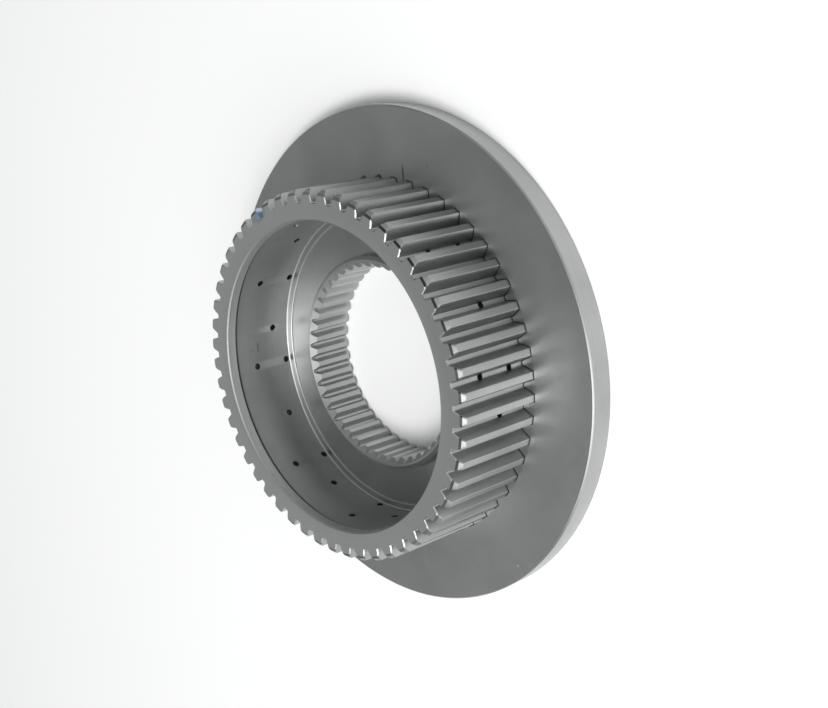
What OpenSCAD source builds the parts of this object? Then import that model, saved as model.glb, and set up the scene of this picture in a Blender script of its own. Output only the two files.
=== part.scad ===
// Flanged clutch hub: outer straight teeth, open drum, boss with an inner spline.
// The gear's axis is Z, the flange's back face lies on z = 0, a tooth gap faces +X.

/* [Flange] */
// Outer diameter of the flange
flange_d = 298; // [260:1:340]
// Thickness of the flange
flange_t = 14.5; // [10:0.5:18]
// Chamfer on both edges of the flange rim
flange_edge = 0.8; // [0.3:0.1:2]

/* [Outer teeth] */
// Number of outer teeth
teeth = 52; // [44:1:56]
// Module of the outer teeth
tooth_module = 4; // [3.5:0.05:4.4]
// Pressure angle of the outer teeth
pressure_angle = 20; // [18:0.5:23]
// Profile shift of the outer teeth, in modules
tooth_shift = 0.34; // [0.2:0.02:0.44]
// Height of a tooth above the pitch circle
addendum = 4; // [3:0.1:5]
// Full depth of a tooth gap
tooth_depth = 7.65; // [6.4:0.05:8]
// Radius in the corners of a tooth gap
root_fillet = 0.8; // [0.3:0.1:1]
// Width of the shallow bevel on the tooth ends
bevel_w = 1.45; // [0.5:0.05:2.5]
// Height of the shallow bevel on the tooth ends
bevel_h = 0.6; // [0.2:0.1:1.5]
// Width of the steep chamfer on the tooth ends
chamfer_w = 1.75; // [0.5:0.05:2.5]
// Height of the steep chamfer on the tooth ends
chamfer_h = 1.9; // [0.5:0.1:3]

/* [Drum] */
// Height of the drum's front end above the back face
drum_h = 70; // [62:0.5:90]
// Wall between the tooth gaps and the inside of the drum
drum_wall = 8.35; // [5:0.05:12]
// How far the lip stands in from the drum wall
lip_step = 1.3; // [0.5:0.1:3]
// Height of the lip at the mouth of the drum
lip_h = 6.1; // [3:0.1:9]
// Chamfer at the mouth of the drum
mouth_chamfer = 0.7; // [0.3:0.1:1.5]
// Width of the relief groove under the lip
groove_w = 1.5; // [0.8:0.1:3]
// Depth of the relief groove into the drum wall
groove_depth = 0.8; // [0.4:0.1:2]

/* [Web] */
// Thickness of the web
web_t = 20.7; // [19.5:0.1:26]
// Height of the ledge round the web
ledge_h = 1.3; // [0.6:0.1:3]
// Width of the ledge round the web
ledge_w = 4.5; // [2.5:0.1:8]
// Radius between the drum wall and the ledge
corner_r = 1.2; // [0.4:0.1:2]
// Rounding on the inner edge of the ledge
ledge_edge = 0.4; // [0.1:0.1:0.5]

/* [Boss] */
// Height of the boss above the web
boss_h = 9.5; // [6:0.1:16]
// Wall between the spline gaps and the outside of the boss
boss_wall = 3.6; // [3:0.1:8]
// Chamfer on the outer edge of the boss
boss_chamfer = 2; // [0.5:0.1:2.2]
// Radius between the boss and the web
boss_fillet = 1.5; // [0.5:0.1:3]

/* [Inner spline] */
// Number of spline teeth
spline_teeth = 46; // [40:1:52]
// Module of the spline
spline_module = 2.5; // [2.2:0.05:2.8]
// Pressure angle of the spline
spline_angle = 30; // [28:0.5:32]
// Profile shift of the spline, in modules
spline_shift = 0.42; // [0.3:0.02:0.5]
// Depth of the spline gaps
spline_depth = 2.9; // [2.2:0.05:3]
// How far the lead-in chamfer reaches past the spline gaps
lead_in = 0.4; // [0.1:0.1:0.7]
// Chamfer on the back ends of the spline teeth
spline_back_edge = 1.2; // [0.4:0.1:2.5]

/* [Oil holes] */
// Diameter of an oil hole
oil_d = 4; // [2:0.5:5]
// Number of tooth gaps with a pair of holes, and of those with a single hole
oil_groups = 10; // [5:1:12]
// Height of a pair's lower hole above the ledge
oil_pair_h = 3; // [2.6:0.1:8]
// Distance between the two holes of a pair
oil_pair_pitch = 23; // [14:0.5:26]
// Height of a single hole above the ledge
oil_single_h = 11.7; // [6:0.1:24]
// Tooth gap of the first pair
oil_pair_gap = 30; // [0:1:43]
// Tooth gap of the first single hole
oil_single_gap = 22; // [0:1:43]

/* [Hidden] */
$fn = 180;
// Points on one flank, and on one small rounded corner
flank_steps = 4;
corner_steps = 4;
// Overrun of a cutter past the surface that it opens
over = 1;

pitch_r = teeth * tooth_module / 2;
base_r = pitch_r * cos(pressure_angle);
tip_r = pitch_r + addendum;
root_r = tip_r - tooth_depth;
tooth_pitch = 360 / teeth;
tooth_w = tooth_module * (PI / 2 + 2 * tooth_shift * tan(pressure_angle));

wall_r = root_r - drum_wall;
lip_r = wall_r - lip_step;
groove_r = wall_r + groove_depth;
lip_z = drum_h - lip_h;
ledge_z = web_t + ledge_h;
ledge_r = wall_r - ledge_w;

spline_pitch_r = spline_teeth * spline_module / 2;
spline_base_r = spline_pitch_r * cos(spline_angle);
spline_root_r = spline_pitch_r + spline_depth;
spline_space_w = spline_module * (PI / 2 + 2 * spline_shift * tan(spline_angle));
boss_r = spline_root_r + boss_wall;
boss_z = web_t + boss_h;
lead_r = spline_root_r + lead_in;

// Involute of an angle, in degrees
function involute(a) = tan(a) * 180 / PI - a;

// Half the angle that an involute tooth takes up at radius r
function half_tooth(r, width, pitch_radius, base_radius, angle) =
    width / pitch_radius * 90 / PI + involute(angle) - involute(acos(base_radius / r));

// Half the angle of an outer tooth gap at radius r
function half_gap(r) = tooth_pitch / 2 - half_tooth(r, tooth_w, pitch_r, base_r, pressure_angle);

// Half the angle of a spline gap at radius r
function half_space(r) = half_tooth(r, spline_space_w, spline_pitch_r, spline_base_r, spline_angle);

// Points of an arc about c, from angle a to angle b
function arc(c, r, a, b) = [
    for (i = [0:corner_steps]) c + r * [cos(a + (b - a) * i / corner_steps), sin(a + (b - a) * i / corner_steps)]
];

// Upper half outline closed by its mirror image in the X axis
function mirrored(points) = concat(points, [
    for (i = [len(points) - 1:-1:0]) [points[i][0], -points[i][1]]
]);

// Half outline of an outer tooth gap: rounded corner first, then the flank outwards
function gap_half() = let (
    r0 = root_r + root_fillet,
    r1 = tip_r + over,
    g0 = half_gap(r0),
    slope = acos(base_r / r0) - g0,
    foot = r0 * [cos(g0), sin(g0)],
    centre = [r0, foot[1] + (r0 - foot[0]) * tan(slope) - root_fillet / cos(slope)]
) concat(
    arc(centre, root_fillet, 180, 90 + slope),
    [for (i = [1:flank_steps]) let (r = r0 + (r1 - r0) * i / flank_steps, g = half_gap(r)) r * [cos(g), sin(g)]]
);

// Half outline of a spline gap, from its floor in to the bore
function space_half() = let (r0 = spline_pitch_r - over, r1 = spline_root_r) [
    for (i = [0:flank_steps]) let (r = r1 + (r0 - r1) * i / flank_steps, g = half_space(r)) r * [cos(g), sin(g)]
];

// Section of the base: back and rim, flange face, ledge, web, boss and bore
function base_section() = concat(
    [
        [spline_pitch_r + spline_back_edge, 0],
        [flange_d / 2 - flange_edge, 0],
        [flange_d / 2, flange_edge],
        [flange_d / 2, flange_t - flange_edge],
        [flange_d / 2 - flange_edge, flange_t],
        [wall_r + drum_wall / 2, flange_t],
        [wall_r + drum_wall / 2, ledge_z + corner_r]
    ],
    arc([wall_r - corner_r, ledge_z + corner_r], corner_r, 0, -90),
    arc([ledge_r + ledge_edge, ledge_z - ledge_edge], ledge_edge, 90, 180),
    [[ledge_r, web_t]],
    arc([boss_r + boss_fillet, web_t + boss_fillet], boss_fillet, 270, 180),
    [
        [boss_r, boss_z - boss_chamfer],
        [boss_r - boss_chamfer, boss_z],
        [lead_r, boss_z],
        [spline_pitch_r, boss_z - lead_r + spline_pitch_r],
        [spline_pitch_r, spline_back_edge]
    ]
);

// Section of the drum before its teeth are cut; it stands in the flange
function drum_section() = [
    [wall_r, flange_t / 2],
    [tip_r, flange_t / 2],
    [tip_r, drum_h - bevel_h - chamfer_h],
    [tip_r - chamfer_w, drum_h - bevel_h],
    [tip_r - chamfer_w - bevel_w, drum_h],
    [lip_r + mouth_chamfer, drum_h],
    [lip_r, drum_h - mouth_chamfer],
    [lip_r, lip_z],
    [groove_r, lip_z],
    [groove_r, lip_z - groove_w],
    [wall_r, lip_z - groove_w]
];

module tooth_gaps() {
    for (i = [0:teeth - 1])
        rotate([0, 0, i * tooth_pitch])
            linear_extrude(height = drum_h + over) polygon(mirrored(gap_half()));
}

module spline_gaps() {
    for (i = [0:spline_teeth - 1])
        rotate([0, 0, i * 360 / spline_teeth])
            translate([0, 0, -over])
                linear_extrude(height = boss_z + 2 * over) polygon(mirrored(space_half()));
}

// One radial hole through the drum wall, at the foot of the given tooth gap
module oil_hole(gap, z) {
    rotate([0, 0, gap * tooth_pitch])
        translate([lip_r - over, 0, z])
            rotate([0, 90, 0]) cylinder(d = oil_d, h = tip_r - lip_r + 2 * over, $fn = 48);
}

// Pairs and single holes, each kind spread evenly over the nearest tooth gaps
module oil_holes() {
    for (i = [0:oil_groups - 1]) {
        step = floor(i * teeth / oil_groups);
        oil_hole(oil_pair_gap + step, ledge_z + oil_pair_h);
        oil_hole(oil_pair_gap + step, ledge_z + oil_pair_h + oil_pair_pitch);
        oil_hole(oil_single_gap + step, ledge_z + oil_single_h);
    }
}

module toothed_drum() {
    difference() {
        rotate_extrude() polygon(drum_section());
        tooth_gaps();
    }
}

module gear() {
    color("silver")
        difference() {
            union() {
                rotate_extrude() polygon(base_section());
                toothed_drum();
            }
            spline_gaps();
            oil_holes();
        }
}

gear();
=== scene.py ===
import math

import bmesh
import bpy
import numpy as np
from mathutils import Matrix, Vector


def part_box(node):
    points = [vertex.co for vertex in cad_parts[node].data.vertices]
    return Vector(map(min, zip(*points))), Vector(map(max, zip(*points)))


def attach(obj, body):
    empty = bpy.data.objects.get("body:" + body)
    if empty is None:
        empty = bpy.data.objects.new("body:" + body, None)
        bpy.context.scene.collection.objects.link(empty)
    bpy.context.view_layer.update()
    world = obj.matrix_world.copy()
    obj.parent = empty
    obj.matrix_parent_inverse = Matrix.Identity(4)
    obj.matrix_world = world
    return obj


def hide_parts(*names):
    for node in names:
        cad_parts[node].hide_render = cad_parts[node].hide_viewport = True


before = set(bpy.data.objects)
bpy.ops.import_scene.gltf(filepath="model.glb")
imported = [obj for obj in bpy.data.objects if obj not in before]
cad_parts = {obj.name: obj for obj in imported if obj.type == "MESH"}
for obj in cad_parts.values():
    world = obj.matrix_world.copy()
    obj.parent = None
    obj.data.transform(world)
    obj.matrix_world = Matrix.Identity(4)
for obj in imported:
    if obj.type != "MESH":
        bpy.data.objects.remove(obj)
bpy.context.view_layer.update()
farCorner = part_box("gear")[1]
print("frame loaded")

# Sizes in metres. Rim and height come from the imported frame. The rest repeats the CAD, apart
# from ledgeRound and the spline's backEdge, which are larger here, and the tiny rounds and
# broken edges, which only this script has.
hub = {
    "rimRadius": float(farCorner[0]),
    "height": float(farCorner[2]),
    "flangeThick": 0.0145,
    "rimEdge": 0.0008,
    "drumWall": 0.00835,
    "lipStep": 0.0013,
    "lipHeight": 0.0061,
    "mouthEdge": 0.0007,
    "grooveWidth": 0.0015,
    "grooveDepth": 0.0008,
    "webThick": 0.0207,
    "ledgeHeight": 0.0013,
    "ledgeWidth": 0.0045,
    "wallRound": 0.0012,
    "ledgeRound": 0.0009,
    "bossHeight": 0.0095,
    "bossWall": 0.0036,
    "bossEdge": 0.002,
    "bossRound": 0.0015,
    "softEdge": 0.00012,      # tiny round on every turned edge
    "columns": 360,           # steps round the turned faces
    "backSeam": 0.001,        # past the lead-in, where the back face changes its steps
    "toothSeam": (0.0035, 0.004),    # the same past the tooth tips, on the flange
    "frontSeam": (0.0015, 0.002),    # inside the roots, on the front
    "bossSeam": 0.0003,              # and past the lead-in, on the boss
}
outerTeeth = {
    "count": 52,
    "module": 0.004,
    "pressureAngle": math.radians(20.0),
    "shift": 0.34,
    "addendum": 0.004,
    "depth": 0.00765,
    "rootRound": 0.0008,
    "tipRound": 0.00025,
    "bevelWidth": 0.00145,
    "bevelDrop": 0.0006,
    "chamferWidth": 0.00175,
    "chamferDrop": 0.0019,
    "deburr": 0.0005,         # small chamfer along the flanks at the front
    "rootDeburr": 0.0002,     # and along the floor of the gaps
    "footWidth": 0.0005,      # relief line round the feet of the teeth
    "footFloor": 0.6,         # its width at the bottom, as a share
    "footDepth": 0.0005,
    "cornerPoints": 6,
    "flankPoints": 7,
    "crownSteps": 5,
}
innerSpline = {
    "count": 46,
    "module": 0.0025,
    "pressureAngle": math.radians(30.0),
    "shift": 0.42,
    "depth": 0.0029,
    "leadIn": 0.0004,
    "backEdge": 0.002,
    "rootRound": 0.0003,
    "tipRound": 0.0002,
    "cornerSteps": 3,
    "flankPoints": 5,
    "crownSteps": 5,
}
oilHoles = {
    "radius": 0.002,
    "groups": 10,
    "pairAboveLedge": 0.003,
    "pairPitch": 0.023,
    "singleAboveLedge": 0.0117,
    "pairGap": 30,
    "singleGap": 22,
    "overrun": 0.002,         # how far the cutters stand out of the drum wall
    "columns": 28,
}

# Radii of the section, from the tooth tips inwards, and its heights
at = {"pitch": outerTeeth["count"] * outerTeeth["module"] / 2}
at["tip"] = at["pitch"] + outerTeeth["addendum"]
at["root"] = at["tip"] - outerTeeth["depth"]
at["chamfer"] = at["tip"] - outerTeeth["chamferWidth"]
at["bevel"] = at["chamfer"] - outerTeeth["bevelWidth"]
at["wall"] = at["root"] - hub["drumWall"]
at["lip"] = at["wall"] - hub["lipStep"]
at["groove"] = at["wall"] + hub["grooveDepth"]
at["bore"] = innerSpline["count"] * innerSpline["module"] / 2
at["splineRoot"] = at["bore"] + innerSpline["depth"]
at["lead"] = at["splineRoot"] + innerSpline["leadIn"]
at["boss"] = at["splineRoot"] + hub["bossWall"]
at["top"] = hub["height"]
at["lipZ"] = at["top"] - hub["lipHeight"]
at["grooveZ"] = at["lipZ"] - hub["grooveWidth"]
at["ledgeZ"] = hub["webThick"] + hub["ledgeHeight"]
at["bossZ"] = hub["webThick"] + hub["bossHeight"]
at["flange"] = hub["flangeThick"]


# Half the angle that an involute tooth fills at a radius:
# width / (2 pitch radius) + inv(pressure angle) - inv(acos(base radius / radius)), inv(a) = tan a - a
def halfTooth(radius, width, pitchRadius, pressureAngle):
    atRadius = np.arccos(pitchRadius * math.cos(pressureAngle) / radius)
    atPitch = math.tan(pressureAngle) - pressureAngle
    return width / (2 * pitchRadius) + atPitch - (np.tan(atRadius) - atRadius)


# Parabola inside the corner b between a and c, all as (angle, radius)
def cornerCut(a, b, c, steps):
    u = np.linspace(0, 1, steps + 1)[:, None]
    return (1 - u) ** 2 * np.array(a) + 2 * u * (1 - u) * np.array(b) + u ** 2 * np.array(c)


# A half outline from gap middle to tooth middle, continued to the next gap middle
def wholePitch(half, step):
    back = half[-2:0:-1].copy()
    back[:, 0] = step - back[:, 0]
    return np.vstack([half, back])


# Half a pitch of the outer teeth: flat floor, round corner, involute flank, rounded tip, land
def outerHalf(s):
    pitchRadius, root, tip = at["pitch"], at["root"], at["tip"]
    angle = s["pressureAngle"]
    step = 2 * math.pi / s["count"]
    width = s["module"] * (math.pi / 2 + 2 * s["shift"] * math.tan(angle))

    def halfGap(radius):
        return step / 2 - halfTooth(radius, width, pitchRadius, angle)

    footRadius = root + s["rootRound"]
    footAngle = halfGap(footRadius)
    slope = math.acos(pitchRadius * math.cos(angle) / footRadius) - footAngle
    footX, footY = footRadius * math.cos(footAngle), footRadius * math.sin(footAngle)
    centreY = footY + (footRadius - footX) * math.tan(slope) - s["rootRound"] / math.cos(slope)
    turn = np.linspace(math.pi, math.pi / 2 + slope, s["cornerPoints"])
    x = footRadius + s["rootRound"] * np.cos(turn)
    y = centreY + s["rootRound"] * np.sin(turn)
    corner = np.column_stack([np.arctan2(y, x), np.hypot(x, y)])
    floor = np.column_stack([np.linspace(0, corner[0, 0], 3)[:-1], np.full(2, root)])
    flankRadius = np.linspace(footRadius + s["rootRound"] / 2, tip - s["tipRound"], s["flankPoints"])
    flank = np.column_stack([halfGap(flankRadius), flankRadius])
    landAngle = halfGap(tip) + s["tipRound"] / tip
    crown = cornerCut(flank[-1], (halfGap(tip), tip), (landAngle, tip), s["crownSteps"])[1:]
    land = np.column_stack([np.linspace(landAngle, step / 2, 3)[1:], np.full(2, tip)])
    return np.vstack([floor, corner, flank, crown, land]), step


# Half a pitch of the spline: floor of the gap, flank inwards, rounded tip, land
def splineHalf(s):
    bore, root = at["bore"], at["splineRoot"]
    angle = s["pressureAngle"]
    step = 2 * math.pi / s["count"]
    width = s["module"] * (math.pi / 2 + 2 * s["shift"] * math.tan(angle))

    def halfSpace(radius):
        return halfTooth(radius, width, bore, angle)

    floorAngle = halfSpace(root) - s["rootRound"] / root
    floor = np.array([[0, root], [floorAngle, root]])
    flankRadius = np.linspace(root - s["rootRound"], bore + s["tipRound"], s["flankPoints"])
    flank = np.column_stack([halfSpace(flankRadius), flankRadius])
    corner = cornerCut(floor[-1], (halfSpace(root), root), flank[0], s["cornerSteps"])[1:-1]
    landAngle = halfSpace(bore) + s["tipRound"] / bore
    crown = cornerCut(flank[-1], (halfSpace(bore), bore), (landAngle, bore), s["crownSteps"])[1:]
    return np.vstack([floor, corner, flank, crown, [[step / 2, bore]]]), step


# x = radius cos(angle), y = radius sin(angle)
def polarToXy(angle, radius):
    return np.stack([radius * np.cos(angle), radius * np.sin(angle)], -1)


# Shortest distance from each point (x, y) to a chain of straight segments
def distanceTo(points, chain):
    a, run = chain[:-1], chain[1:] - chain[:-1]
    rel = points[..., None, :] - a
    along = np.clip((rel * run).sum(-1) / (run ** 2).sum(-1), 0, 1)
    return np.linalg.norm(rel - along[..., None] * run, axis=-1).min(-1)


# Distance to the nearest chain, where those in further count as that much further away
def edgeDistance(points, chains, further=(), extra=0.0):
    return np.min([distanceTo(points, chain) for chain in chains] +
                  [distanceTo(points, chain) + extra for chain in further], axis=0)


# On each column's radial line from start to stop: the first radius that lies the wanted
# distance from the chains, found in even steps
def radiusAtDistance(angle, start, stop, wanted, *chains, tries=240):
    radius = start + (stop - start) * np.linspace(0, 1, tries)[:, None]
    points = polarToXy(np.broadcast_to(angle, radius.shape), radius)
    reached = edgeDistance(points, *chains) >= wanted
    first = np.where(reached.any(0), reached.argmax(0), len(radius) - 1)
    return radius[first, np.arange(len(angle))]


# A section line whose inner corners become arcs of the given radii
def roundedLine(points, radii, steps=5):
    points = np.array(points, float)
    out = [points[0]]
    for before, corner, after, radius in zip(points[:-2], points[1:-1], points[2:], radii):
        inward = (corner - before) / np.linalg.norm(corner - before)
        onward = (after - corner) / np.linalg.norm(after - corner)
        side = np.sign(inward[0] * onward[1] - inward[1] * onward[0])
        turn = math.acos(np.clip(inward @ onward, -1, 1))
        start = corner - inward * radius * math.tan(turn / 2)
        across = side * radius * np.array([-inward[1], inward[0]])
        swing = np.linspace(0, turn, steps + 1)[:, None]
        out.extend(start + across * (1 - np.cos(swing)) + inward * radius * np.sin(swing))
    out.append(points[-1])
    return np.array(out)


# A closed skin of rings. They run from the back face round the section and back again, so
# that the step along a ring and the step to the next ring give a face that looks outwards.
class Skin:
    def __init__(self):
        self.points, self.faces, self.total = [], [], 0

    # ring(angle) = (radius cos(angle), radius sin(angle), height)
    def ring(self, angle, radius, height):
        xy = polarToXy(angle, np.broadcast_to(radius, angle.shape))
        self.points.append(np.column_stack([xy, np.broadcast_to(height, angle.shape)]))
        self.total += len(angle)
        return np.arange(self.total - len(angle), self.total)

    def bridge(self, a, b):
        self.faces.append(np.column_stack([a, np.roll(a, -1), np.roll(b, -1), b]))
        return b

    # Two rings of different steps: each step of one makes a triangle with the point of the
    # other that was last passed
    def stitch(self, a, angleA, b, angleB):
        nextA = np.append(angleA[1:], angleA[0] + 2 * math.pi)
        nextB = np.append(angleB[1:], angleB[0] + 2 * math.pi)
        facingA = b[np.searchsorted(nextB, nextA, side="left") % len(b)]
        facingB = a[np.searchsorted(nextA, nextB, side="right") % len(a)]
        self.faces.append(np.column_stack([a, np.roll(a, -1), facingA]))
        self.faces.append(np.column_stack([facingB, np.roll(b, -1), b]))
        return b

    # One mesh of all rings and faces, with the points that fall together made one
    def build(self, name, together=2e-6):
        mesh = bpy.data.meshes.new(name)
        faces = [face for part in self.faces for face in part.tolist()]
        mesh.from_pydata(np.vstack(self.points).tolist(), [], faces)
        work = bmesh.new()
        work.from_mesh(mesh)
        bmesh.ops.remove_doubles(work, verts=work.verts, dist=together)
        work.to_mesh(mesh)
        work.free()
        return mesh


# The hub without its oil holes, and the step from one outer tooth to the next. Each ring has
# the points of the outer teeth, of the spline or of a turned face, at one radius and height
# of the section or at those that follow the teeth.
def hubSkin(h, outer, inner):
    skin = Skin()
    root, tip, wall, lip = at["root"], at["tip"], at["wall"], at["lip"]
    boss, lead, bore = at["boss"], at["lead"], at["bore"]
    rim, thick, soft, web = h["rimRadius"], h["flangeThick"], h["softEdge"], h["webThick"]
    turned = np.arange(h["columns"]) * 2 * math.pi / h["columns"]
    half, step = outerHalf(outer)
    pitch = wholePitch(half, step)
    toothAngle = (np.arange(outer["count"])[:, None] * step + pitch[:, 0]).ravel()
    halfSpline, splineStep = splineHalf(inner)
    spline = wholePitch(halfSpline, splineStep)
    splineAngle = (np.arange(inner["count"])[:, None] * splineStep + spline[:, 0]).ravel()
    splineRadius = np.tile(spline[:, 1], inner["count"])

    def toothRing(radius, height):
        tall = np.broadcast_to(height, radius.shape)
        return skin.ring(toothAngle, np.tile(radius, outer["count"]), np.tile(tall, outer["count"]))

    # Back face, rim and flange face
    splineLow = np.maximum(0, bore + inner["backEdge"] - splineRadius)
    splineBack = skin.ring(splineAngle, splineRadius, splineLow)
    backRadius = np.maximum(splineRadius, bore + inner["backEdge"])
    last = skin.bridge(splineBack, skin.ring(splineAngle, backRadius, 0))
    last = skin.bridge(last, skin.ring(splineAngle, lead, 0))
    outside = roundedLine(
        [(lead + h["backSeam"], 0), (rim - h["rimEdge"], 0), (rim, h["rimEdge"]),
         (rim, thick - h["rimEdge"]), (rim - h["rimEdge"], thick), (tip + h["toothSeam"][1], thick)],
        [soft] * 4)
    rings = [skin.ring(turned, r, z) for r, z in outside]
    skin.stitch(last, splineAngle, rings[0], turned)
    for a, b in zip(rings[:-1], rings[1:]):
        skin.bridge(a, b)

    # Relief line round the feet of the teeth, its width measured from their outline
    angle, radius = pitch[:, 0], pitch[:, 1]
    outline = polarToXy(*np.vstack([pitch - [step, 0], pitch, pitch + [step, 0]]).T)
    beyond = np.full(len(angle), tip + h["toothSeam"][0])
    footZ = thick - outer["footDepth"]
    last = skin.stitch(rings[-1], turned, toothRing(beyond, thick), toothAngle)
    for share, z in ((1, thick), (outer["footFloor"], footZ)):
        reach = radiusAtDistance(angle, radius, beyond, outer["footWidth"] * share, [outline])
        last = skin.bridge(last, toothRing(reach, z))
    last = skin.bridge(last, toothRing(radius, footZ))

    # Height of the tooth ends at a radius: the full height, less bevel and chamfer from the
    # tip inwards, less what is missing from the deburr width in the distance to the flank
    flank = half[(half[:, 1] > root + outer["rootRound"] / 2) & (half[:, 1] < tip - outer["tipRound"] / 2)]
    flanks = [polarToXy(*part.T) for part in (flank, [step, 0] + flank * [-1, 1])]
    floor = half[half[:, 1] < root + outer["rootRound"]]
    floors = [polarToXy(*part.T) for part in (floor, [step, 0] + floor * [-1, 1])]
    floorLess = outer["deburr"] - outer["rootDeburr"]
    drops = [0, outer["bevelDrop"], outer["bevelDrop"] + outer["chamferDrop"]]

    def endHeight(r):
        near = edgeDistance(polarToXy(angle, r), flanks, floors, floorLess)
        cone = np.interp(r, [at["bevel"], at["chamfer"], tip], drops)
        return at["top"] - cone - np.maximum(0, outer["deburr"] - near)

    within = np.full(len(angle), root - h["frontSeam"][0])
    crease = radiusAtDistance(angle, radius, within, outer["deburr"], flanks, floors, floorLess)
    creases = [radius, crease, np.minimum(radius, at["chamfer"]), np.minimum(radius, at["bevel"]), within]
    rows = np.sort(creases, axis=0)[::-1]
    crest = endHeight(radius)
    for share in (1 / 3, 2 / 3, 1):
        last = skin.bridge(last, toothRing(radius, footZ + (crest - footZ) * share))
    for r in rows[1:]:
        last = skin.bridge(last, toothRing(r, endHeight(r)))

    # Mouth, lip, groove, wall, ledge, web and boss
    top, bossZ, ledgeZ = at["top"], at["bossZ"], at["ledgeZ"]
    inside = roundedLine(
        [(root - h["frontSeam"][1], top), (lip + h["mouthEdge"], top), (lip, top - h["mouthEdge"]),
         (lip, at["lipZ"]), (at["groove"], at["lipZ"]), (at["groove"], at["grooveZ"]),
         (wall, at["grooveZ"]), (wall, ledgeZ), (wall - h["ledgeWidth"], ledgeZ),
         (wall - h["ledgeWidth"], web), (boss, web), (boss, bossZ - h["bossEdge"]),
         (boss - h["bossEdge"], bossZ), (lead + h["bossSeam"], bossZ)],
        [soft] * 6 + [h["wallRound"], h["ledgeRound"], soft, h["bossRound"], soft, soft])
    rings = [skin.ring(turned, r, z) for r, z in inside]
    skin.stitch(last, toothAngle, rings[0], turned)
    for a, b in zip(rings[:-1], rings[1:]):
        skin.bridge(a, b)

    # Lead-in cone, then the spline down to the back face
    last = skin.stitch(rings[-1], turned, skin.ring(splineAngle, lead, bossZ), splineAngle)
    splineTop = bossZ - (lead - splineRadius)
    for share in (1, 2 / 3, 1 / 3):
        tall = splineLow + (splineTop - splineLow) * share
        last = skin.bridge(last, skin.ring(splineAngle, splineRadius, tall))
    skin.bridge(last, splineBack)
    return skin, step


# Every oil hole as a round bar through the drum wall, along the middle of its tooth gap:
# x = r cos(a) - side sin(a), y = r sin(a) + side cos(a), height z + rise, on a circle of side
# and rise
def oilCutter(s, step):
    first = np.floor(np.arange(s["groups"]) * outerTeeth["count"] / s["groups"])
    gap = np.concatenate([s["pairGap"] + first, s["pairGap"] + first, s["singleGap"] + first])
    above = [s["pairAboveLedge"], s["pairAboveLedge"] + s["pairPitch"], s["singleAboveLedge"]]
    height = at["ledgeZ"] + np.repeat(above, s["groups"])
    turn = np.arange(s["columns"]) * 2 * math.pi / s["columns"]
    side = s["radius"] * np.cos(turn)
    rise = s["radius"] * np.sin(turn)
    points, faces = [], []
    for number, (a, z) in enumerate(zip(gap * step, height)):
        for r in (at["lip"] - s["overrun"], at["tip"] + s["overrun"]):
            x = r * math.cos(a) - side * math.sin(a)
            y = r * math.sin(a) + side * math.cos(a)
            points.append(np.column_stack([x, y, z + rise]))
        low = 2 * number * s["columns"] + np.arange(s["columns"])
        high = low + s["columns"]
        faces += np.column_stack([low, np.roll(low, -1), np.roll(high, -1), high]).tolist()
        faces += [low[::-1].tolist(), high.tolist()]
    mesh = bpy.data.meshes.new("oilCutter")
    mesh.from_pydata(np.vstack(points).tolist(), [], faces)
    return mesh


def addObject(name, data):
    made = bpy.data.objects.new(name, data)
    bpy.context.collection.objects.link(made)
    return made


skin, toothStep = hubSkin(hub, outerTeeth, innerSpline)
gear = addObject("gearBody", skin.build("gearBody"))
cutter = addObject("oilCutter", oilCutter(oilHoles, toothStep))
cut = gear.modifiers.new("oilHoles", "BOOLEAN")
cut.operation = "DIFFERENCE"
cut.solver = "EXACT"
cut.object = cutter
bpy.context.view_layer.update()
gear.data = bpy.data.meshes.new_from_object(gear.evaluated_get(bpy.context.evaluated_depsgraph_get()))
gear.modifiers.clear()
bpy.data.objects.remove(cutter)
gear.data.shade_smooth()
gear.data.set_sharp_from_angle(angle=math.radians(20))
print("gear built:", len(gear.data.vertices), "points")


def addNode(tree, kind, inputs=None, **settings):
    made = tree.nodes.new(kind)
    for key, value in settings.items():
        setattr(made, key, value)
    for key, value in (inputs or {}).items():
        if isinstance(value, bpy.types.NodeSocket):
            tree.links.new(value, made.inputs[key])
        else:
            made.inputs[key].default_value = value
    return made


def calc(tree, operation, a, b=0.0):
    return addNode(tree, "ShaderNodeMath", {0: a, 1: b}, operation=operation).outputs[0]


# A value from low to high becomes 0 to 1, with soft ends
def fade(tree, value, low, high, outLow=0.0, outHigh=1.0):
    return addNode(tree, "ShaderNodeMapRange", {"Value": value, "From Min": low, "From Max": high,
                   "To Min": outLow, "To Max": outHigh}, interpolation_type="SMOOTHSTEP").outputs[0]


def noise(tree, vector, scale, detail=3.0, rough=0.5):
    return addNode(tree, "ShaderNodeTexNoise", {"Vector": vector, "Scale": scale, "Detail": detail,
                   "Roughness": rough}).outputs[0]


def mixValue(tree, factor, a, b):
    return addNode(tree, "ShaderNodeMix", {0: factor, 2: a, 3: b}).outputs[0]


def mixColour(tree, factor, a, b):
    return addNode(tree, "ShaderNodeMix", {0: factor, 6: a, 7: b}, data_type="RGBA").outputs[2]


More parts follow.
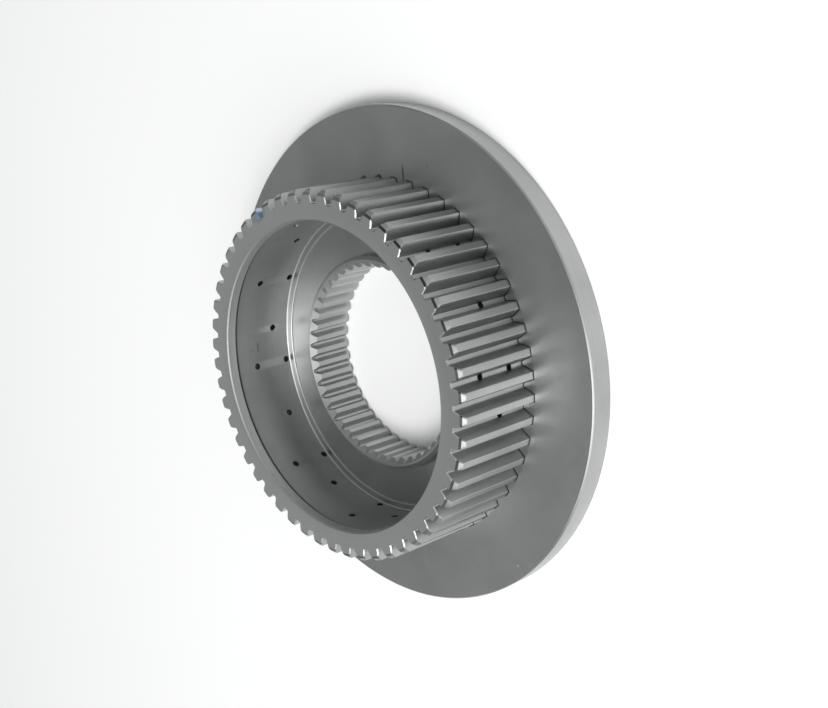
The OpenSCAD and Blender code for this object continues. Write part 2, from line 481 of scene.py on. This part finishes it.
steelLook = {
    "pale": (0.435, 0.442, 0.437, 1),
    "deep": (0.357, 0.366, 0.361, 1),
    "paintedSheen": (0.56, 0.568, 0.562, 1),
    # dark colour painted as shade at the feet of the teeth
    "footShade": (0.12, 0.122, 0.12, 1),
    # dark colour painted as shade on the small cut edges, the lead-in, the holes and under the groove
    "paintedShade": (0.07, 0.07, 0.07, 1),
    "paintedSheenOn": {"front": 0.6, "lip": 0.9},            # share of the paler colour painted on as painted sheen
    "paintedShadeOn": {"gapFloorEdge": 0.6, "mouth": 0.3},    # share of the painted shade on small cut edges
    "bevelShade": (0.55, 0.95),        # the same painted shade on the bevel, away from +X and towards it
    "bevelShadePlace": (0.04, 0.09),   # x where that painted shade begins to deepen and is deepest
    # shares of painted shade on the lead-in, and in the holes and under the groove
    "leadShade": 0.25,
    "holeShade": 0.8,
    # share of painted shade in the relief line at the feet of the teeth
    "footShadeShare": 0.9,
    "paintCover": 0.8,
    "roughLow": 0.30,
    "roughHigh": 0.37,
    "rougher": {"inside": 0.14, "flange": 0.11, "mouth": 0.15, "toothSides": 0.06, "lead": 0.25},
    "turningFine": 1400,      # how fine the marks of the tools are
    "lengthwiseFine": 900,
    "boredFine": 1100,
    "broadTone": 22,
    "fineTone": 260,
    "bumpStrength": 0.12,
    "bumpHeight": 0.00005,
}
# Where each finish, painted shade and painted sheen shows. A limit says what is measured, from which place
# of the section, and how many millimetres past that place it begins and is full.
zones = {
    "teeth": [("radius", "root", -1.85, -0.85), ("radius", "tip", 1.5, 1.0)],
    "splineTeeth": [("radius", "lead", 0.7, -0.3)],
    "front": [("height", "top", -0.8, -0.4)],
    "lip": [("height", "lipZ", -0.3, 0.1), ("radius", "wall", 0.6, 0.2), ("height", "top", -0.5, -0.8)],
    "bevel": [("radius", "bevel", -0.1, 0.1), ("radius", "chamfer", 0.15, -0.05),
              ("height", "top", -1.1, -0.7)],
    "gapFloorEdge": [("radius", "root", -0.55, -0.35), ("radius", "root", 0.35, 0.15),
                     ("height", "top", -0.6, -0.4)],
    "mouth": [("radius", "lip", 0.9, 0.7), ("height", "top", -0.9, -0.7)],
    "foot": [("height", "flange", 0.02, -0.22), ("radius", "tip", 1.2, 1.0),
             ("radius", "root", -0.15, 0.05)],
    "holes": [("radius", "wall", 0.2, 0.6), ("radius", "root", -0.15, -0.65),
              ("height", "lipZ", 0.6, 0.3), ("height", "ledgeZ", 0.5, 1.0)],
    "underGroove": [("height", "grooveZ", -1.1, -0.5), ("height", "lipZ", 0.2, 0.0),
                    ("radius", "wall", -0.5, -0.2), ("radius", "groove", 1.2, 0.7)],
    "lead": [("radius", "lead", 0.2, 0.0), ("height", "bossZ", -3.6, -3.2)],
    "inside": [("radius", "groove", 1.7, 0.7), ("radius", "splineRoot", 0.1, 1.1)],
    "flange": [("radius", "tip", 0.0, 1.0)],
    "toothSides": [("radius", "root", -0.35, 0.15), ("radius", "tip", 1.5, 1.0)],
}
# Small marks: middle, turn about the axis in degrees, half lengths, colour and strength
marksAt = {
    "longLine": ((0.0530, 0.0988, 0.0145), 70.9, (0.0058, 0.0007, 0.001), (0.05, 0.05, 0.05, 1), 0.75),
    "shortLine": ((0.0731, 0.0960, 0.0145), 90, (0.0020, 0.0003, 0.001), (0.05, 0.05, 0.05, 1), 0.5),
    "footSpotLeft": ((0.0206, 0.1064, 0.0145), 0, (0.0024, 0.0012, 0.001), (0.05, 0.05, 0.05, 1), 0.7),
    "footSpotRight": ((0.0330, 0.1030, 0.0145), 0, (0.0024, 0.0012, 0.001), (0.05, 0.05, 0.05, 1), 0.7),
    "flangeSpeck": ((0.0467, -0.1342, 0.0145), 0, (0.0007, 0.0007, 0.001), (0.9, 0.9, 0.9, 1), 0.7),
    "wallStain": ((-0.0857, 0.0336, 0.0459), 158.6, (0.002, 0.0036, 0.0009), (0.08, 0.08, 0.08, 1), 0.4),
    "wallStainHigh": ((-0.0862, 0.0321, 0.0508), 159.6, (0.002, 0.0013, 0.0024),
                      (0.08, 0.08, 0.08, 1), 0.15),
    "wallStainLow": ((-0.0816, -0.0424, 0.0476), -152.5, (0.002, 0.0028, 0.0014),
                     (0.08, 0.08, 0.08, 1), 0.35),
    "paleDot": ((-0.0118, 0.0918, 0.0464), 97.4, (0.002, 0.0013, 0.0013), (0.9, 0.9, 0.9, 1), 0.8),
    "paintHaze": ((-0.0138, 0.1015, 0.0700), 7, (0.0075, 0.0042, 0.0015), (0.27, 0.38, 0.40, 1), 0.6),
    "paintPale": ((-0.0163, 0.1052, 0.0666), 7, (0.0022, 0.0024, 0.0036), (0.55, 0.62, 0.80, 1), 0.6),
    "paint": ((-0.0154, 0.1017, 0.0674), 7, (0.0028, 0.0030, 0.0036), (0.085, 0.17, 0.34, 1), 0.9),
}


# One in a zone and nought outside it: the product of a soft step for each of its limits
def zoneMask(tree, measured, limits):
    steps = [fade(tree, measured[along], at[place] + begin / 1000, at[place] + full / 1000)
             for along, place, begin, full in limits]
    mask = steps[0]
    for step in steps[1:]:
        mask = calc(tree, "MULTIPLY", mask, step)
    return mask


# Object coordinates stretched or flattened along x, y and z
def stretched(tree, place, by):
    return addNode(tree, "ShaderNodeVectorMath", {0: place, 1: by}, operation="MULTIPLY").outputs[0]


# Machined steel: fine turning marks by radius on the flat faces, by height on the bored
# walls and lengthwise on the teeth, over a broad uneven tone. A paler colour painted on the
# front and the lip as painted sheen; painted shade in the holes, the groove, on the lead-in,
# on the small cut edges and in the relief lines at the feet; a few stains and a dab of blue paint.
def steelMaterial(look):
    material = bpy.data.materials.new("machinedSteel")
    material.use_nodes = True
    tree = material.node_tree
    shader = tree.nodes["Principled BSDF"]
    coords = addNode(tree, "ShaderNodeTexCoord")
    place = coords.outputs["Object"]
    axes = addNode(tree, "ShaderNodeSeparateXYZ", {0: place}).outputs
    level = stretched(tree, place, (1, 1, 0))
    radius = addNode(tree, "ShaderNodeVectorMath", {0: level}, operation="LENGTH").outputs["Value"]
    upward = addNode(tree, "ShaderNodeSeparateXYZ", {0: coords.outputs["Normal"]}).outputs[2]
    onFlat = fade(tree, calc(tree, "ABSOLUTE", upward), 0.75, 0.9)
    notFlat = calc(tree, "SUBTRACT", 1.0, onFlat)
    measured = {"radius": radius, "height": axes[2]}
    on = {name: zoneMask(tree, measured, limits) for name, limits in zones.items()}
    for zone in ("gapFloorEdge", "inside", "toothSides"):
        on[zone] = calc(tree, "MULTIPLY", on[zone], notFlat)
    on["flange"] = calc(tree, "MULTIPLY", on["flange"], onFlat)

    byRadius = addNode(tree, "ShaderNodeCombineXYZ", {0: radius}).outputs[0]
    turning = noise(tree, byRadius, look["turningFine"], 2, 0.6)
    lengthwise = noise(tree, stretched(tree, place, (1, 1, 0.04)), look["lengthwiseFine"], 2, 0.6)
    bored = noise(tree, stretched(tree, place, (0.02, 0.02, 1)), look["boredFine"], 2, 0.6)
    toothed = calc(tree, "ADD", on["teeth"], on["splineTeeth"])
    marks = mixValue(tree, onFlat, mixValue(tree, toothed, bored, lengthwise), turning)
    broad = noise(tree, place, look["broadTone"], 4, 0.55)
    fine = noise(tree, place, look["fineTone"], 3, 0.6)
    tone = calc(tree, "ADD", calc(tree, "MULTIPLY", broad, 0.7), calc(tree, "MULTIPLY", marks, 0.3))
    colour = mixColour(tree, fade(tree, tone, 0.3, 0.7), look["deep"], look["pale"])

    # A paler colour painted on the front and the lip as painted sheen
    paintedSheen = [calc(tree, "MULTIPLY", on[zone], much) for zone, much in look["paintedSheenOn"].items()]
    colour = mixColour(tree, calc(tree, "ADD", *paintedSheen), colour, look["paintedSheen"])
    # Painted shade on the bevel, deeper towards +X, and on the gap floor edges and the mouth
    bevelShade = fade(tree, axes[0], *look["bevelShadePlace"], *look["bevelShade"])
    paintedShades = [(on["bevel"], bevelShade)] + [(on[zone], much) for zone, much in look["paintedShadeOn"].items()]
    for cutEdge, shadeShare in paintedShades:
        colour = mixColour(tree, calc(tree, "MULTIPLY", cutEdge, shadeShare), colour, look["paintedShade"])
    # Painted shade in the relief line at the feet of the teeth
    colour = mixColour(tree, calc(tree, "MULTIPLY", on["foot"], look["footShadeShare"]), colour, look["footShade"])
    # Painted shade on the lead-in
    colour = mixColour(tree, calc(tree, "MULTIPLY", on["lead"], look["leadShade"]), colour, look["paintedShade"])
    # Painted shade in the oil holes and under the groove
    paintedShade = calc(tree, "MAXIMUM", on["holes"], on["underGroove"])
    colour = mixColour(tree, calc(tree, "MULTIPLY", paintedShade, look["holeShade"]), colour, look["paintedShade"])

    for middle, turn, reach, tint, strength in marksAt.values():
        local = addNode(tree, "ShaderNodeMapping", {"Vector": place, "Location": middle, "Scale": reach,
                        "Rotation": (0, 0, math.radians(turn))}, vector_type="TEXTURE").outputs[0]
        away = addNode(tree, "ShaderNodeVectorMath", {0: local}, operation="LENGTH").outputs["Value"]
        spot = fade(tree, calc(tree, "ADD", away, calc(tree, "MULTIPLY", fine, 0.8)), 1.5, 1.0)
        colour = mixColour(tree, calc(tree, "MULTIPLY", spot, strength), colour, tint)
    painted = calc(tree, "MULTIPLY", spot, look["paintCover"])    # the last of the marks is the paint
    tree.links.new(colour, shader.inputs["Base Color"])
    tree.links.new(calc(tree, "SUBTRACT", 1.0, painted), shader.inputs["Metallic"])

    rough = calc(tree, "ADD", calc(tree, "MULTIPLY", marks, 0.55), calc(tree, "MULTIPLY", fine, 0.45))
    rough = fade(tree, rough, 0.3, 0.7, look["roughLow"], look["roughHigh"])
    for zone, added in look["rougher"].items():
        rough = calc(tree, "ADD", rough, calc(tree, "MULTIPLY", on[zone], added))
    tree.links.new(rough, shader.inputs["Roughness"])
    bump = addNode(tree, "ShaderNodeBump", {"Height": marks, "Strength": look["bumpStrength"],
                   "Distance": look["bumpHeight"]})
    tree.links.new(bump.outputs[0], shader.inputs["Normal"])
    return material


gear.data.materials.clear()
gear.data.materials.append(steelMaterial(steelLook))
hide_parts("gear")
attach(gear, "root")
print("steel ready")

# A wide pale floor, on which the back face lies
ground = {
    "reach": 30,
    "tones": ((0.92, 0.92, 0.92, 1), (0.94, 0.94, 0.94, 1)),
    "grain": 3,
    "rough": 0.8,
}
reach = ground["reach"]
floor = addObject("floor", bpy.data.meshes.new("floor"))
corners = [(-reach, -reach, 0), (reach, -reach, 0), (reach, reach, 0), (-reach, reach, 0)]
floor.data.from_pydata(corners, [], [(0, 1, 2, 3)])
floorLook = bpy.data.materials.new("paleFloor")
floorLook.use_nodes = True
floorTree = floorLook.node_tree
floorShader = floorTree.nodes["Principled BSDF"]
floorPlace = addNode(floorTree, "ShaderNodeTexCoord").outputs["Object"]
floorTone = noise(floorTree, floorPlace, ground["grain"], 2, 0.5)
floorTree.links.new(mixColour(floorTree, floorTone, *ground["tones"]), floorShader.inputs["Base Color"])
floorShader.inputs["Roughness"].default_value = ground["rough"]
floor.data.materials.append(floorLook)

# Soft light: a surround that is brightest at middle height, dimmer near the horizon and
# overhead, with one broad bright side and a slow change across it, and a panel above that side
light = {
    "tint": (0.985, 1.0, 0.995, 1),
    "across": (0.165, -0.07, 0),             # brighter by this much along x and y
    "overhead": (0.45, 0.85, 0.95, 0.22),    # start and end of the dimming, brightness at both
    "horizon": (0.28, 0.52, 0.25, 1.0),      # the same near the floor, as a share of it
    "keySide": (0.366, -0.633, 0.682),
    "keyNarrow": 14.0,
    "keyBright": 1.5,
    "panelPlace": (0.74, -0.74, 1.82),
    "panelSize": 1.0,
    "panelPower": 32,
}
world = bpy.data.worlds.new("surround")
world.use_nodes = True
sky = world.node_tree
toward = addNode(sky, "ShaderNodeTexCoord").outputs["Generated"]


# How far the direction of a ray goes along another one
def along(direction):
    dot = addNode(sky, "ShaderNodeVectorMath", {0: toward, 1: direction}, operation="DOT_PRODUCT")
    return dot.outputs["Value"]


upward = addNode(sky, "ShaderNodeSeparateXYZ", {0: toward}).outputs[2]
start, stop, bright, dim = light["overhead"]
level = addNode(sky, "ShaderNodeMapRange", {"Value": upward, "From Min": start, "From Max": stop,
                "To Min": bright, "To Max": dim}).outputs[0]
level = calc(sky, "MULTIPLY", level, fade(sky, upward, *light["horizon"]))
key = calc(sky, "POWER", calc(sky, "MAXIMUM", along(light["keySide"])), light["keyNarrow"])
strength = calc(sky, "ADD", along(light["across"]), level)
strength = calc(sky, "ADD", strength, calc(sky, "MULTIPLY", key, light["keyBright"]))
background = sky.nodes["Background"]
background.inputs["Color"].default_value = light["tint"]
sky.links.new(strength, background.inputs["Strength"])
bpy.context.scene.world = world
bpy.context.scene.view_settings.view_transform = "Standard"
lamp = bpy.data.lights.new("panelAbove", "AREA")
lamp.shape = "SQUARE"
lamp.size = light["panelSize"]
lamp.energy = light["panelPower"]
stand = addObject("panelAbove", lamp)
outward = Vector(light["panelPlace"])
facing = outward.to_track_quat("Z", "Y").to_matrix().to_4x4()    # its light goes towards the origin
stand.matrix_world = Matrix.Translation(outward) @ facing
print("floor and light set")

# The camera found from the photo: its place and its axes in the CAD frame
view = {
    "place": (0.63386714, -0.01647384, 0.5716219),
    "right": (0.64737657, -0.29900557, -0.70107007),
    "up": (0.20009545, 0.95424467, -0.22221369),
    "lens": 61.743,
    "shift": (-0.02892, 0.03146),
}
lens = bpy.data.cameras.new("photoCamera")
lens.sensor_fit = "HORIZONTAL"
lens.sensor_width = 36.0
lens.lens = view["lens"]
lens.shift_x, lens.shift_y = view["shift"]
lens.clip_start = 0.01
camera = addObject("photoCamera", lens)
right = Vector(view["right"]).normalized()
back = right.cross(Vector(view["up"])).normalized()
turned = Matrix((right, back.cross(right), back)).transposed().to_4x4()
camera.matrix_world = Matrix.Translation(view["place"]) @ turned
bpy.context.scene.camera = camera
print("camera set")
